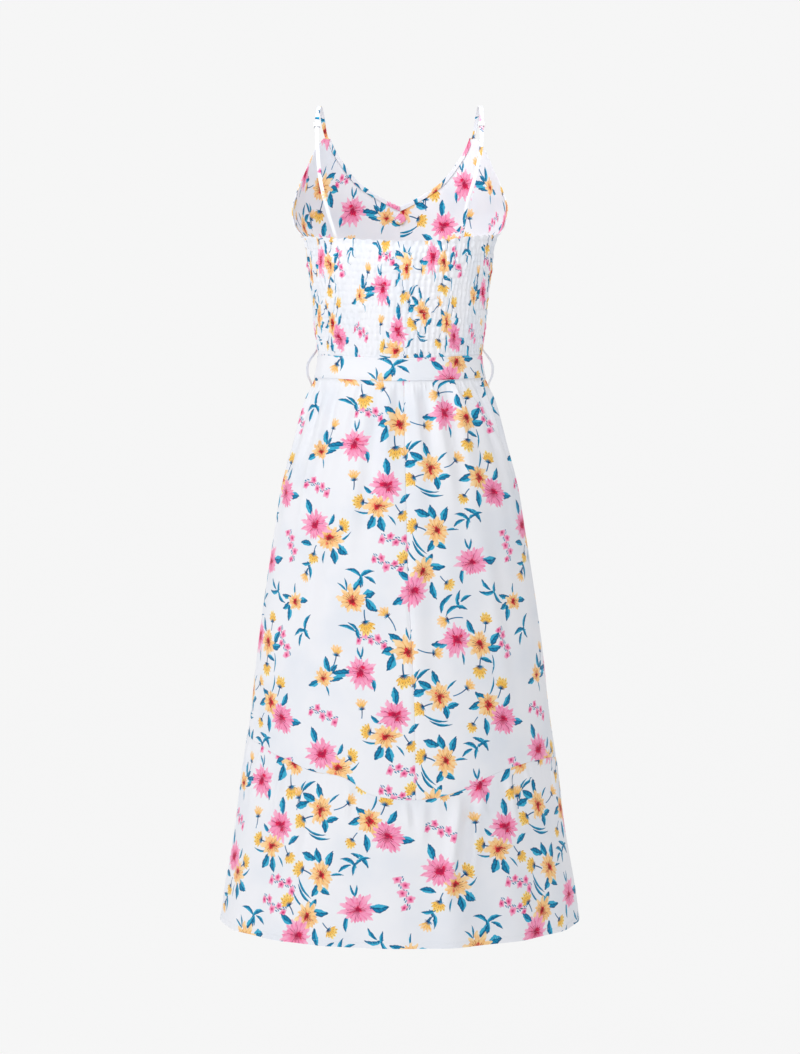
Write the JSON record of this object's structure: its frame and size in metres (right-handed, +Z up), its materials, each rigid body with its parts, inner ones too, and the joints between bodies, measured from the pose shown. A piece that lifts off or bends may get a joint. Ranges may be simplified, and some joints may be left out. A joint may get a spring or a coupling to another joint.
{
  "type": "asymmetric midi dress, worn form",
  "caption": "Hollow strappy midi dress with a V neck, smocked back, belt with side loops and a flounce on a slanting seam.",
  "frame": {"origin": "midway between the tops of the two shoulder straps, where a wearer's shoulders hold the dress", "axes": "+Z up along the hanging dress, +X towards the wearer's left, the front faces -Y"},
  "size_m": [0.5097, 0.4109, 1.1714],
  "materials": {
    "printed_cloth": "soft white crepe with a scattered print of pink and orange daisies and blue leaves",
    "smocked_cloth": "the same printed crepe, shirred in fine crinkles on elastic rows",
    "printed_binding": "narrow bias strip of the printed crepe",
    "strap_cloth": "narrow folded strip of the printed crepe",
    "covered_button": "small domed button covered in the printed crepe",
    "white_plastic": "white moulded strap slider"
  },
  "bodies": {
    "root": {"front_bodice_left": "printed_cloth", "front_bodice_right": "printed_cloth", "neck_binding_left": "printed_binding", "neck_binding_right": "printed_binding", "neck_button": "covered_button", "back_bodice": "smocked_cloth", "strap_left": "strap_cloth", "strap_right": "strap_cloth", "strap_slider_left": "white_plastic", "strap_slider_right": "white_plastic", "belt": "printed_cloth", "belt_loop_left": "strap_cloth", "belt_loop_right": "strap_cloth", "skirt_back_left": "printed_cloth", "skirt_back_right": "printed_cloth", "skirt_front": "printed_cloth", "flounce_back": "printed_cloth", "flounce_front": "printed_cloth"}
  },
  "joints": []
}
